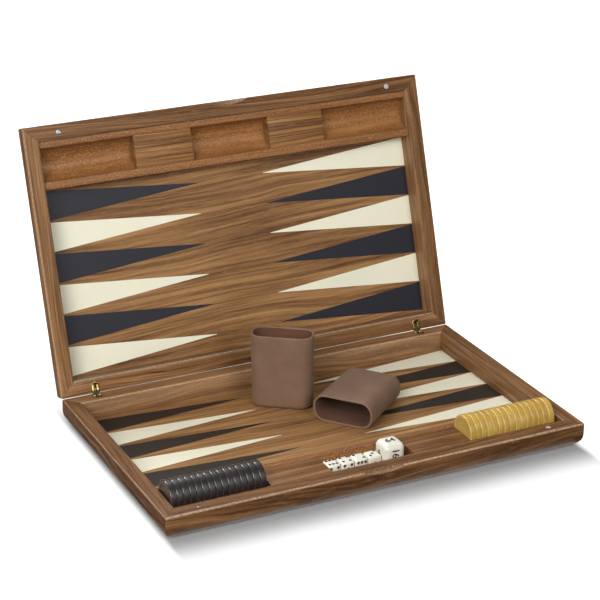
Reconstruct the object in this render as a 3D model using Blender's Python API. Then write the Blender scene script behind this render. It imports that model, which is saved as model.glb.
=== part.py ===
"""Folding walnut backgammon set: a base tray, a hinged lid, and the loose playing pieces.

Frame: X along the hinge edge, +Y towards the hinge, +Z up. The origin is the centre of the base's
underside. Both halves are the same case half, made in half coordinates: x along the hinge, v away
from the hinge towards the free edge, z up from the underside to the face.
"""
import math

import bmesh
import bpy
from mathutils import Matrix, Vector

# --- Case half -------------------------------------------------------------------------------
LENGTH = 0.480            # along the hinge
DEPTH = 0.296             # hinge edge to free edge
THICK = 0.028             # underside to face
RAIL = 0.017              # width of a frame rail
ROUND = 0.016             # round-over of the outer bottom edge
EASE = 0.0012             # eased face edges
RECESS = 0.023            # face to playing field
GAP = 0.0003              # between pieces that touch

# --- Hinge -----------------------------------------------------------------------------------
LID_OPEN = 107.4          # degrees from closed, the pose the set stands in
CLOSED_GAP = 0.0003       # between the two faces when the lid is shut
AXIS_BACK = 0.0002        # hinge axis behind the hinge edge
HINGE_X = 0.200           # each hinge from the middle
BARREL_V = 0.0073         # barrel's centre from the hinge edge
BARREL_R = 0.005
BARREL_DEEP = 0.011
LEAF_DEEP = 0.003         # pocket for the arms, below the face
EYE_R = 0.0019
PIN_R = 0.0008

# --- Storage along the free edge -------------------------------------------------------------
TROUGH_WIDE = 0.0525
TROUGH_DROP = 0.004       # top of the trough block below the face
GROOVE_R = 0.0186
GROOVE_DROP = 0.0015      # groove's centre below the face
GROOVE_V = 0.2533         # groove's centre from the hinge edge
PLUG_NEAR = 0.047         # plug's two ends from the middle
PLUG_FAR = 0.115

# --- Catch and thumb notch -------------------------------------------------------------------
MAGNET_X = 0.200
MAGNET_V = 0.2867
MAGNET_R = 0.003
MAGNET_TALL = 0.002
NOTCH_R = 0.103
NOTCH_DEEP = 0.0036

# --- Loose pieces ----------------------------------------------------------------------------
CHECKER_R = 0.018
CHECKER_THICK = 0.00685
CHECKER_RIM = 0.0009
STACK = 3                 # checkers joined in one node
STACKS = 5                # nodes in one colour
DARK_START = -0.2224
AMBER_START = 0.1153
DIE = 0.0154
DIE_ROUND = 0.0030
DIE_FIRST_X = -0.0390
DIE_PITCH = 0.0156
CUBE = 0.025
CUBE_ROUND = 0.0066
CUBE_X = 0.0285

# --- Dice cups -------------------------------------------------------------------------------
CUP_LONG = 0.070
CUP_THICK = 0.0316
CUP_CORNER = 0.0138        # rounding of the cup's four upright corners
CUP_TALL = 0.086
CUP_TAPER = 0.96          # foot size over mouth size
CUP_WALL = 0.0024
CUP_FLOOR = 0.003
CUP_FOOT_ROUND = 0.005
STANDING_AT = (-0.0074, 0.0782)
STANDING_TURN = -35.7     # degrees, long side from +X
LYING_MOUTH_AT = (0.0270, 0.0005)
LYING_TURN = 38.9         # degrees, from the mouth to the foot, from +X

HINGE_Y = DEPTH / 2 + AXIS_BACK
HINGE_Z = THICK + CLOSED_GAP / 2
FIELD_Z = THICK - RECESS
GROOVE_Y = DEPTH / 2 - GROOVE_V
GROOVE_Z = THICK - GROOVE_DROP
SIDES = (("left", -1), ("right", 1))


def clear_scene():
    for obj in list(bpy.data.objects):
        bpy.data.objects.remove(obj, do_unlink=True)


def make_material(name, colour, roughness, metallic=0.0):
    mat = bpy.data.materials.new(name)
    mat.use_nodes = True
    shader = mat.node_tree.nodes["Principled BSDF"]
    shader.inputs["Base Color"].default_value = (*colour, 1.0)
    shader.inputs["Roughness"].default_value = roughness
    shader.inputs["Metallic"].default_value = metallic
    mat.diffuse_color = (*colour, 1.0)
    return mat


def make_materials():
    return {
        "walnut": make_material("walnut", (0.25, 0.13, 0.065), 0.45),
        "walnut_field": make_material("walnut_field", (0.31, 0.17, 0.085), 0.5),
        "sapele": make_material("sapele", (0.26, 0.09, 0.035), 0.35),
        "brass": make_material("brass", (0.72, 0.52, 0.20), 0.25, 1.0),
        "steel": make_material("steel", (0.72, 0.72, 0.70), 0.3, 1.0),
        "leather": make_material("leather", (0.20, 0.115, 0.08), 0.6),
        "dark": make_material("dark", (0.018, 0.013, 0.012), 0.25),
        "amber": make_material("amber", (0.58, 0.36, 0.07), 0.25),
        "ivory": make_material("ivory", (0.83, 0.80, 0.70), 0.25),
    }


def add_object(name, bm, material, parent=None, smooth_angle=30.0):
    bmesh.ops.recalc_face_normals(bm, faces=bm.faces)
    mesh = bpy.data.meshes.new(name)
    bm.to_mesh(mesh)
    bm.free()
    mesh.materials.append(material)
    mesh.shade_smooth()
    mesh.set_sharp_from_angle(angle=math.radians(smooth_angle))
    obj = bpy.data.objects.new(name, mesh)
    bpy.context.scene.collection.objects.link(obj)
    obj.parent = parent
    return obj


def add_empty(name, location, rotation=(0.0, 0.0, 0.0)):
    obj = bpy.data.objects.new(name, None)
    obj.location = location
    obj.rotation_euler = rotation
    bpy.context.scene.collection.objects.link(obj)
    return obj


def arc(centre, radius, start, end, steps):
    """Points of an arc, angles in degrees."""
    points = []
    for i in range(steps + 1):
        a = math.radians(start + (end - start) * i / steps)
        points.append((centre[0] + radius * math.cos(a), centre[1] + radius * math.sin(a)))
    return points


def loft(rings):
    """A closed solid through rings of equal length, capped at both ends."""
    bm = bmesh.new()
    rows = [[bm.verts.new(p) for p in ring] for ring in rings]
    count = len(rows[0])
    for low, high in zip(rows, rows[1:]):
        for i in range(count):
            j = (i + 1) % count
            bm.faces.new((low[i], low[j], high[j], high[i]))
    bm.faces.new(rows[0])
    bm.faces.new(rows[-1])
    return bm


def cylinder(radius, low, high, axis="Z", segments=24):
    bm = bmesh.new()
    bmesh.ops.create_cone(bm, cap_ends=True, segments=segments, radius1=radius, radius2=radius,
                          depth=high - low)
    bmesh.ops.translate(bm, verts=bm.verts, vec=(0.0, 0.0, (low + high) / 2))
    if axis == "X":
        bmesh.ops.rotate(bm, verts=bm.verts, matrix=Matrix.Rotation(math.radians(90), 3, "Y"))
    return bm


def box(low, high):
    bm = bmesh.new()
    bmesh.ops.create_cube(bm, size=1.0)
    size = [b - a for a, b in zip(low, high)]
    centre = [(a + b) / 2 for a, b in zip(low, high)]
    bmesh.ops.scale(bm, verts=bm.verts, vec=size)
    bmesh.ops.translate(bm, verts=bm.verts, vec=centre)
    return bm


def moved(bm, x, y, z):
    bmesh.ops.translate(bm, verts=bm.verts, vec=(x, y, z))
    return bm


def combine(target, name, bm, operation, material):
    """Adds a Boolean modifier whose cutter follows the target's parent."""
    cutter = add_object(name, bm, material, target.parent)
    cutter.hide_render = True
    cutter.display_type = "WIRE"
    cutter.matrix_local = Matrix.Identity(4)
    modifier = target.modifiers.new(name, "BOOLEAN")
    modifier.operation = operation
    modifier.solver = "EXACT"
    modifier.object = cutter
    return modifier


def half_point(x, v, z):
    """A point of a case half, seen from the hinge axis."""
    return (x, v + AXIS_BACK, z - HINGE_Z)


def in_half(bm):
    return moved(bm, 0.0, AXIS_BACK, -HINGE_Z)


# --- Case ------------------------------------------------------------------------------------
def rail_section():
    """Outline of a rail: t from the outer face inwards, z from the underside."""
    outline = [(RAIL, 0.0)]
    outline += arc((ROUND, ROUND), ROUND, 270, 180, 10)
    outline += arc((EASE, THICK - EASE), EASE, 180, 90, 3)
    outline += arc((RAIL - EASE, THICK - EASE), EASE, 90, 0, 3)
    return outline


def rail_rings(span):
    """Two mitred end outlines of a rail that runs along s, its outer face at t = 0."""
    inset = GAP * 0.75
    rings = []
    for far in (False, True):
        ring = []
        for t, z in rail_section():
            s = span - t - inset if far else t + inset
            ring.append((s, t, z))
        rings.append(ring)
    return rings


def add_rail(half, side, parent, material):
    """side is hinge, free, low (at -x) or high (at +x), in half coordinates."""
    along = LENGTH if side in ("hinge", "free") else DEPTH
    rings = []
    for ring in rail_rings(along):
        points = []
        for s, t, z in ring:
            place = {
                "hinge": (s - LENGTH / 2, t),
                "free": (s - LENGTH / 2, DEPTH - t),
                "low": (t - LENGTH / 2, s),
                "high": (LENGTH / 2 - t, s),
            }[side]
            points.append(half_point(*place, z))
        rings.append(points)
    names = {
        "base": {"hinge": "back", "free": "front", "low": "right", "high": "left"},
        "lid": {"hinge": "hinge", "free": "free", "low": "left", "high": "right"},
    }
    return add_object(f"{half}_rail_{names[half][side]}", loft(rings), material, parent)


def cut_hinge_seats(rail, material):
    for name, sign in SIDES:
        x = sign * HINGE_X
        seat = cylinder(BARREL_R + GAP, THICK - BARREL_DEEP - GAP, THICK + 0.01)
        combine(rail, f"{rail.name}_seat_{name}", in_half(moved(seat, x, BARREL_V, 0)),
                "DIFFERENCE", material)
        slot = box((x - 0.0044, -0.01, THICK - LEAF_DEEP - 0.0004), (x + 0.0044, BARREL_V, THICK + 0.01))
        combine(rail, f"{rail.name}_slot_{name}", in_half(slot), "DIFFERENCE", material)


def cut_magnet_seats(rail, material):
    for name, sign in SIDES:
        seat = cylinder(MAGNET_R + GAP, THICK - MAGNET_TALL - 2 * GAP, THICK + 0.01)
        combine(rail, f"{rail.name}_seat_{name}", in_half(moved(seat, sign * MAGNET_X, MAGNET_V, 0)),
                "DIFFERENCE", material)


def cut_thumb_notch(rail, material):
    """A shallow lens scooped out of the face's free edge."""
    scoop = cylinder(NOTCH_R, -0.03, 0.03, segments=160)
    bmesh.ops.rotate(scoop, verts=scoop.verts, matrix=Matrix.Rotation(math.radians(45), 3, "X"))
    reach = (NOTCH_R - NOTCH_DEEP) / math.sqrt(2)
    combine(rail, f"{rail.name}_notch", in_half(moved(scoop, 0, DEPTH + reach, THICK + reach)),
            "DIFFERENCE", material)


def add_panel(half, parent, material):
    low = (-LENGTH / 2 + RAIL + GAP, RAIL + GAP, 0.0)
    high = (LENGTH / 2 - RAIL - GAP, DEPTH - RAIL - GAP, FIELD_Z)
    return add_object(f"{half}_field_panel", in_half(box(low, high)), material, parent)


def groove_arc(radius, top_z, steps=20):
    """The groove's wall from one edge of its mouth to the other, below top_z."""
    lift = math.degrees(math.asin((top_z - GROOVE_Z) / radius))
    return arc((GROOVE_V, GROOVE_Z), radius, 180 - lift, 360 + lift, steps)


def extrude_x(outline, low, high):
    return loft([[half_point(x, v, z) for v, z in outline] for x in (low, high)])


def add_trough(half, parent, material):
    top = THICK - TROUGH_DROP
    near = DEPTH - RAIL - TROUGH_WIDE
    far = DEPTH - RAIL - GAP
    outline = [(near, FIELD_Z + GAP), (near, top)]
    outline += groove_arc(GROOVE_R, top)
    outline += [(far, top), (far, FIELD_Z + GAP)]
    reach = LENGTH / 2 - RAIL - GAP
    return add_object(f"{half}_trough", extrude_x(outline, -reach, reach), material, parent)


def add_plugs(half, parent, material):
    outline = groove_arc(GROOVE_R - GAP, THICK - TROUGH_DROP)
    for name, sign in SIDES:
        world_name = name if half == "lid" else {"left": "right", "right": "left"}[name]
        ends = sorted((sign * PLUG_NEAR, sign * PLUG_FAR))
        add_object(f"{half}_plug_{world_name}", extrude_x(outline, *ends), material, parent)


def add_magnets(half, parent, material):
    for name, sign in SIDES:
        world_name = name if half == "lid" else {"left": "right", "right": "left"}[name]
        disc = cylinder(MAGNET_R, THICK - MAGNET_TALL - GAP, THICK - GAP / 2)
        add_object(f"{half}_magnet_{world_name}", in_half(moved(disc, sign * MAGNET_X, MAGNET_V, 0)),
                   material, parent)


def add_hinge_half(half, parent, material):
    """A barrel in the rail with arms that reach to eyes on the hinge axis.

    The base's half has one arm in the middle, the lid's half has a fork around it.
    """
    arms = [(-0.0015, 0.0015)] if half == "base" else [(-0.0037, -0.0019), (0.0019, 0.0037)]
    for name, sign in SIDES:
        world_name = name if half == "lid" else {"left": "right", "right": "left"}[name]
        x = sign * HINGE_X
        barrel = add_object(f"{half}_hinge_{world_name}",
                            in_half(moved(cylinder(BARREL_R, THICK - BARREL_DEEP, THICK - 0.0001),
                                          x, BARREL_V, 0)), material, parent)
        pocket = cylinder(BARREL_R - 0.0009, THICK - LEAF_DEEP, THICK + 0.01)
        combine(barrel, f"{barrel.name}_pocket", in_half(moved(pocket, x, BARREL_V, 0)),
                "DIFFERENCE", material)
        mouth = box((x - 0.0042, -0.01, THICK - LEAF_DEEP), (x + 0.0042, BARREL_V, THICK + 0.01))
        combine(barrel, f"{barrel.name}_mouth", in_half(mouth), "DIFFERENCE", material)
        for i, (low, high) in enumerate(arms):
            bar = box((x + low, -AXIS_BACK, THICK - LEAF_DEEP - 0.0002),
                      (x + high, BARREL_V + 0.0015, THICK - 0.0006))
            combine(barrel, f"{barrel.name}_arm_{i}", in_half(bar), "UNION", material)
            eye = cylinder(EYE_R, low, high, axis="X")
            combine(barrel, f"{barrel.name}_eye_{i}", moved(eye, x, 0, 0), "UNION", material)
        bore = cylinder(PIN_R + 0.00015, -0.0045, 0.0045, axis="X", segments=16)
        combine(barrel, f"{barrel.name}_bore", moved(bore, x, 0, 0), "DIFFERENCE", material)


def add_hinge_pins(parent, material):
    for name, sign in SIDES:
        pin = cylinder(PIN_R, -0.004, 0.004, axis="X", segments=16)
        world_name = {"left": "right", "right": "left"}[name]
        add_object(f"hinge_pin_{world_name}", moved(pin, sign * HINGE_X, 0, 0), material, parent)


def add_case_half(half, parent, mats):
    hinge_rail = add_rail(half, "hinge", parent, mats["walnut"])
    cut_hinge_seats(hinge_rail, mats["walnut"])
    free_rail = add_rail(half, "free", parent, mats["walnut"])
    cut_magnet_seats(free_rail, mats["walnut"])
    cut_thumb_notch(free_rail, mats["walnut"])
    add_rail(half, "low", parent, mats["walnut"])
    add_rail(half, "high", parent, mats["walnut"])
    add_panel(half, parent, mats["walnut_field"])
    add_trough(half, parent, mats["sapele"])
    add_plugs(half, parent, mats["walnut"])
    add_magnets(half, parent, mats["steel"])
    add_hinge_half(half, parent, mats["brass"])


# --- Loose pieces ----------------------------------------------------------------------------
def add_checker_stack(name, start_x, material):
    """Checkers on edge in the groove, joined face to face with a seam between their rims."""
    segments = 24
    profile = []
    for i in range(STACK):
        low = i * CHECKER_THICK
        high = low + CHECKER_THICK - (GAP if i == STACK - 1 else 0.0)
        if i > 0:
            low += 0.0001
        profile += [
            (low, CHECKER_R - CHECKER_RIM),
            (low + CHECKER_RIM, CHECKER_R),
            (high - CHECKER_RIM, CHECKER_R),
            (high, CHECKER_R - CHECKER_RIM),
        ]
    rings = []
    for x, radius in profile:
        ring = []
        for i in range(segments):
            a = 2 * math.pi * i / segments
            ring.append((x, radius * math.cos(a), radius * math.sin(a)))
        rings.append(ring)
    stack = add_object(name, loft(rings), material)
    stack.location = (start_x, GROOVE_Y, GROOVE_Z - (GROOVE_R - CHECKER_R) + GAP)
    return stack


def rounded_cube(size, radius, segments):
    bm = bmesh.new()
    bmesh.ops.create_cube(bm, size=size)
    bmesh.ops.bevel(bm, geom=bm.edges[:], offset=radius, segments=segments, profile=0.5, affect="EDGES",
                    clamp_overlap=True)
    return bm


def seat_height(size, radius):
    """Height of a rounded cube's centre when its two lower edges lie in the groove."""
    reach = GROOVE_R - radius - GAP
    side = size / 2 - radius
    return GROOVE_Z - math.sqrt(reach ** 2 - side ** 2) + side


def add_dice(material):
    for i in range(4):
        die = add_object(f"die_{i + 1}", rounded_cube(DIE, DIE_ROUND, 3), material)
        die.location = (DIE_FIRST_X + i * DIE_PITCH, GROOVE_Y, seat_height(DIE, DIE_ROUND))
    cube = add_object("doubling_cube", rounded_cube(CUBE, CUBE_ROUND, 4), material)
    cube.location = (CUBE_X, GROOVE_Y, seat_height(CUBE, CUBE_ROUND))


def oblong(long_side, thick_side, radius, z, steps=4):
    """A rectangle with round corners: its long side along X, its thickness along Y."""
    x = long_side / 2 - radius
    y = thick_side / 2 - radius
    points = []
    for centre, start in (((x, -y), -90), ((x, y), 0), ((-x, y), 90), ((-x, -y), 180)):
        points += arc(centre, radius, start, start + 90, steps)
    return [(px, py, z) for px, py in points]


def cup_solid():
    """A dice cup standing on its foot, the foot's middle at the origin."""
    def section(z, inset):
        scale = CUP_TAPER + (1 - CUP_TAPER) * z / CUP_TALL
        long_side = CUP_LONG * scale - 2 * inset
        thick_side = CUP_THICK * scale - 2 * inset
        return oblong(long_side, thick_side, CUP_CORNER * scale - inset, z)

    rings = []
    for i in range(5):
        a = math.radians(90 * i / 4)
        z = CUP_FOOT_ROUND * (1 - math.cos(a))
        inset = CUP_FOOT_ROUND * (1 - math.sin(a))
        rings.append(section(z, inset))
    for z, inset in (
        (CUP_TALL - 0.0008, 0.0),
        (CUP_TALL, 0.0008),
        (CUP_TALL, CUP_WALL - 0.0008),
        (CUP_TALL - 0.0008, CUP_WALL),
        (CUP_FLOOR + 0.003, CUP_WALL),
        (CUP_FLOOR, CUP_WALL + 0.003),
    ):
        rings.append(section(z, inset))
    return loft(rings)


def add_cups(material):
    turn = math.radians(STANDING_TURN)
    front = Vector((math.sin(turn), -math.cos(turn), 0.0))
    foot = Vector((*STANDING_AT, FIELD_Z + GAP))
    pivot = add_empty("standing_cup_pivot", foot + front * CUP_THICK / 2, (0.0, 0.0, turn))
    standing = add_object("dice_cup_standing", cup_solid(), material, pivot)
    standing.location = (0.0, CUP_THICK / 2, 0.0)

    lying = add_object("dice_cup_lying", cup_solid(), material)
    way = math.radians(LYING_TURN)
    along = Vector((math.cos(way), math.sin(way), 0.0))
    across = Vector((-math.sin(way), math.cos(way), 0.0))
    lying.matrix_world = Matrix((
        (across.x, 0.0, -along.x, 0.0),
        (across.y, 0.0, -along.y, 0.0),
        (0.0, 1.0, 0.0, 0.0),
        (0.0, 0.0, 0.0, 1.0),
    ))
    centre = Vector((*LYING_MOUTH_AT, FIELD_Z + GAP + CUP_THICK / 2))
    lying.location = centre + along * CUP_TALL


def build():
    clear_scene()
    mats = make_materials()
    hinge = (0.0, HINGE_Y, HINGE_Z)
    base = add_empty("base_frame", hinge, (0.0, 0.0, math.pi))
    lid = add_empty("lid_frame", hinge, (math.radians(180.0 - LID_OPEN), 0.0, 0.0))
    add_case_half("base", base, mats)
    add_case_half("lid", lid, mats)
    add_hinge_pins(base, mats["brass"])
    for i in range(STACKS):
        step = i * STACK * CHECKER_THICK
        add_checker_stack(f"dark_checkers_{i + 1}", DARK_START + step, mats["dark"])
        add_checker_stack(f"amber_checkers_{i + 1}", AMBER_START + step, mats["amber"])
    add_dice(mats["ivory"])
    add_cups(mats["leather"])


build()
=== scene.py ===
"""Looks of the folding walnut backgammon set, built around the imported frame.

Both case halves are made in half coordinates: x along the hinge, v away from the hinge towards
the free edge, z up from the underside to the face. Every length is in metres.
"""
import math
import random

import bmesh
import bpy
from mathutils import Matrix, Vector

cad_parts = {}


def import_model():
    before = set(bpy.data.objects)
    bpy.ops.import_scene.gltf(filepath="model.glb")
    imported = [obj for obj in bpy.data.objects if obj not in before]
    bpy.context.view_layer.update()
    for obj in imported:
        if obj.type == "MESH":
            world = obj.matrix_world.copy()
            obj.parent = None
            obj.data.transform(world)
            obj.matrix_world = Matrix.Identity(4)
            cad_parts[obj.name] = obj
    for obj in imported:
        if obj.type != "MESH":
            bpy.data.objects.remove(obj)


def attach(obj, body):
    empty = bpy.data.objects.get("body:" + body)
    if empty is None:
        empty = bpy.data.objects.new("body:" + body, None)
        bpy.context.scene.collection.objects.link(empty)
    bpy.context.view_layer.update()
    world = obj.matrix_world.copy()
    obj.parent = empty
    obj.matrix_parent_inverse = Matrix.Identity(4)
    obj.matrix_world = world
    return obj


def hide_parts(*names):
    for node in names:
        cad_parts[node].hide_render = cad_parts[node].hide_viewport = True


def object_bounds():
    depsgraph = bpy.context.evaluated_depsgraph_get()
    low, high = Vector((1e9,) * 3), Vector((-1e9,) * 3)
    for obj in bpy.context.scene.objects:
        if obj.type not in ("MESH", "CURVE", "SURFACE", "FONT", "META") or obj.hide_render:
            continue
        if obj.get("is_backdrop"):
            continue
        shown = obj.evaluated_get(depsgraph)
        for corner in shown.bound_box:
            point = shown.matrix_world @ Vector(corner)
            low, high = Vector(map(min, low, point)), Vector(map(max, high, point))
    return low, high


# --- Case half -------------------------------------------------------------------------------
LENGTH = 0.480
DEPTH = 0.296
THICK = 0.028
RAIL = 0.017
ROUND = 0.016             # round-over of the outer bottom edge
EASE = 0.0017             # eased face edges
HINGE_EASE = 0.0002       # the edges that meet at the hinge
CORNER = 0.0018           # eased outer corner at each mitre
RUB_HIGHLIGHT_REACH = 0.0010        # how far the worn finish and its painted highlight fade out beside an eased edge
RECESS = 0.023
GAP = 0.0003
SNUG = 0.0001             # play of a piece that is let in
CLEAR_OF = 0.01           # how far a cutter stands out of the wood
MITRE_GAP = 0.00012
FIELD_Z = THICK - RECESS

# --- Hinge -----------------------------------------------------------------------------------
LID_OPEN = 107.4
AXIS_BACK = 0.0002
HINGE_Y = DEPTH / 2 + AXIS_BACK
HINGE_Z = THICK + 0.00015
HINGE_X = 0.200
BARREL_V = 0.0073
BARREL_R = 0.005
BARREL_WALL = 0.0010
BARREL_DEEP = 0.011
LEAF_DEEP = 0.003
SLOT_HALF = 0.0044        # half width of the slot for the arms, in the wood
BARREL_SLOT = 0.0042      # and in the barrel
SLOT_UNDER = 0.0004       # play under the arms
LINK_DEEP = 0.0045        # the links' lower end in the barrel, below the face
EYE_R = 0.0019
PIN_R = 0.0008

# --- Playing field ---------------------------------------------------------------------------
POINTS = 6
POINT_FIRST_V = 0.0357    # middle of the point nearest the hinge
POINT_PITCH = 0.03455
POINT_HALF = 0.0168
POINT_TIP_X = 0.0410
POINT_BLUNT = 0.0002
POINT_LONGER = {("base", True): 0.0045, ("lid", True): 0.0012}    # by half, for dark points
POINT_PROUD = 0.00005
POINT_DEEP = 0.0006

# --- Storage ---------------------------------------------------------------------------------
TROUGH_WIDE = 0.0525
TROUGH_DROP = 0.004
GROOVE_R = 0.0186
GROOVE_V = 0.2533
GROOVE_Z = THICK - 0.0015
GROOVE_Y = DEPTH / 2 - GROOVE_V
TROUGH_TOP = THICK - TROUGH_DROP
PLUG_NEAR = 0.047
PLUG_FAR = 0.115
PLUG_EASE = 0.0003
MAGNET_X = 0.200
MAGNET_V = 0.2867
MAGNET_R = 0.003
MAGNET_TALL = 0.002
NOTCH_R = 0.103
NOTCH_DEEP = 0.0036
NOTCH_SEGMENTS = 320

# --- Loose pieces ----------------------------------------------------------------------------
CHECKER_R = 0.018
CHECKER_THICK = 0.00685
CHECKER_EDGE = 0.0008
STACK = 3
STACKS = 5
DARK_START = -0.2224
AMBER_START = 0.1153
DIE = 0.0154
DIE_ROUND = 0.0030
DIE_FIRST_X = -0.0390
DIE_PITCH = 0.0156
CUBE = 0.025
CUBE_ROUND = 0.0066
CUBE_X = 0.0285
CUP_LONG = 0.070
CUP_THICK = 0.0316
CUP_CORNER = 0.0138       # rounding of the four upright corners
CUP_TALL = 0.086
CUP_TAPER = 0.96
CUP_WALL = 0.0024
CUP_FLOOR = 0.003
CUP_FOOT_ROUND = 0.005
LINING_ROUND = 0.003
STANDING_AT = (-0.0074, 0.0782)
STANDING_TURN = -35.7
LYING_MOUTH_AT = (0.0270, 0.0005)
LYING_TURN = 38.9

# --- Camera ----------------------------------------------------------------------------------
CAMERA_AT = (-0.8578, -1.7272, 0.9566)
CAMERA_YAW = 25.77        # degrees from +Y towards +X
CAMERA_PITCH = 22.51      # degrees downwards
CAMERA_LENS = 119.5

# --- Light -----------------------------------------------------------------------------------
ROOM_LIGHT = 0.09
FLOOR_SEEN = 0.30
SWEEP_FROM = -0.004       # the floor's painted glow, white to the camera, rises between these distances from the set
SWEEP_TO = 0.080
BASE_ENDS = (0.006, 8.0)  # how much shorter the shaded floor is at each end, how fast it fades there
LID_ENDS = (0.070, 1.5)
LID_REACH = 0.110         # how far the open lid leans out behind the base
GLOW_REACH = 0.02         # where the reflected floor is down to FLOOR_MIRRORED
FLOOR_BOUNCE = 0.35
UNDER_MIRRORED = 0.80     # how brightly the floor glows in a reflection, a painted reflection, at the case and beyond
FLOOR_MIRRORED = 0.15
SOFTBOXES = (             # name, place, size, watts
    ("back_softbox", (-0.5, 1.9, 1.7), (1.6, 1.0), 58.0),
    ("back_top_softbox", (0.1, 1.3, 2.1), (1.4, 1.0), 24.0),
    ("back_left_softbox", (-1.7, 1.2, 1.5), (1.2, 1.0), 4.0),
    ("front_left_softbox", (-1.8, -1.6, 1.7), (1.4, 1.4), 58.0),
    ("front_softbox", (0.3, -2.4, 1.6), (1.4, 1.4), 38.0),
    ("left_softbox", (-2.4, 0.2, 1.3), (1.4, 1.2), 5.0),
    ("low_left_softbox", (-2.0, -1.3, 1.0), (1.2, 1.0), 12.0),
)

SIDES = (("left", -1), ("right", 1))
HINGE_AT = Matrix.Translation((0.0, HINGE_Y, HINGE_Z))
FROM_HALF = Matrix.Translation((0.0, AXIS_BACK, -HINGE_Z))
HALVES = {                # half coordinates to the frame
    "base": HINGE_AT @ Matrix.Rotation(math.pi, 4, "Z") @ FROM_HALF,
    "lid": HINGE_AT @ Matrix.Rotation(math.radians(180.0 - LID_OPEN), 4, "X") @ FROM_HALF,
}


# --- Node helpers ----------------------------------------------------------------------------
class Shade:
    """A Principled material that is built node by node."""

    def __init__(self, name, **sockets):
        self.name = name
        self.material = bpy.data.materials.new(name)
        self.material.use_nodes = True
        self.tree = self.material.node_tree
        self.shader = self.tree.nodes["Principled BSDF"]
        for key, value in sockets.items():
            self.set(key.replace("_", " "), value)

    def feed(self, socket, value):
        """Links an output to the socket, or sets a plain value or colour."""
        if isinstance(value, bpy.types.NodeSocket):
            self.tree.links.new(value, socket)
        elif isinstance(value, tuple) and len(value) == 3 and socket.type == "RGBA":
            socket.default_value = (*value, 1.0)
        else:
            socket.default_value = value

    def set(self, name, value):
        self.feed(self.shader.inputs[name], value)

    def node(self, kind, inputs=None, **settings):
        made = self.tree.nodes.new(kind)
        for key, value in settings.items():
            setattr(made, key, value)
        for key, value in (inputs or {}).items():
            self.feed(made.inputs[key], value)
        return made

    def math(self, operation, a, b):
        return self.node("ShaderNodeMath", {0: a, 1: b}, operation=operation).outputs[0]

    def plus(self, a, b):
        return self.math("ADD", a, b)

    def minus(self, a, b):
        return self.math("SUBTRACT", a, b)

    def times(self, a, b):
        return self.math("MULTIPLY", a, b)

    def vector(self, operation, a, b):
        return self.node("ShaderNodeVectorMath", {0: a, 1: b}, operation=operation).outputs[0]

    def stretched(self, vector, factors):
        return self.vector("MULTIPLY", vector, factors)

    def split(self, vector):
        return self.node("ShaderNodeSeparateXYZ", {0: vector}).outputs

    def attribute(self, name):
        made = self.node("ShaderNodeAttribute", attribute_name=name, attribute_type="GEOMETRY")
        return made.outputs["Vector"]

    def grain(self):
        return self.attribute("grain")

    def board(self):
        """The piece's own tone, with painted light and shade at some places, and how worn its edges are,
        with a painted highlight.
        """
        return self.split(self.attribute("board"))

    def noise(self, vector, scale=1.0, detail=2.0, roughness=0.5, distortion=0.0):
        return self.node("ShaderNodeTexNoise", {
            "Vector": vector, "Scale": scale, "Detail": detail, "Roughness": roughness,
            "Distortion": distortion}).outputs["Fac"]

    def ramp(self, value, stops):
        made = self.node("ShaderNodeValToRGB", {"Fac": value})
        ramp = made.color_ramp
        while len(ramp.elements) < len(stops):
            ramp.elements.new(0.5)
        for element, (position, colour) in zip(ramp.elements, stops):
            element.position = position
            element.color = (*colour, 1.0) if isinstance(colour, tuple) else (colour,) * 3 + (1.0,)
        return made.outputs["Color"]

    def mix(self, factor, a, b):
        return self.node("ShaderNodeMix", {"Factor": factor, "A": a, "B": b},
                         data_type="RGBA").outputs["Result"]

    def remap(self, value, low, high, to_low, to_high):
        return self.node("ShaderNodeMapRange", {
            "Value": value, "From Min": low, "From Max": high, "To Min": to_low,
            "To Max": to_high}).outputs["Result"]

    def bump(self, height, distance, strength=1.0):
        self.set("Normal", self.node("ShaderNodeBump", {
            "Height": height, "Distance": distance, "Strength": strength}).outputs["Normal"])


# --- Materials -------------------------------------------------------------------------------
VARNISH = (1.0, 0.80, 0.62)
# colour of worn eased edges, brightened into a painted highlight
RUBBED_EDGE_HIGHLIGHT = (0.460, 0.315, 0.200)


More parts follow.
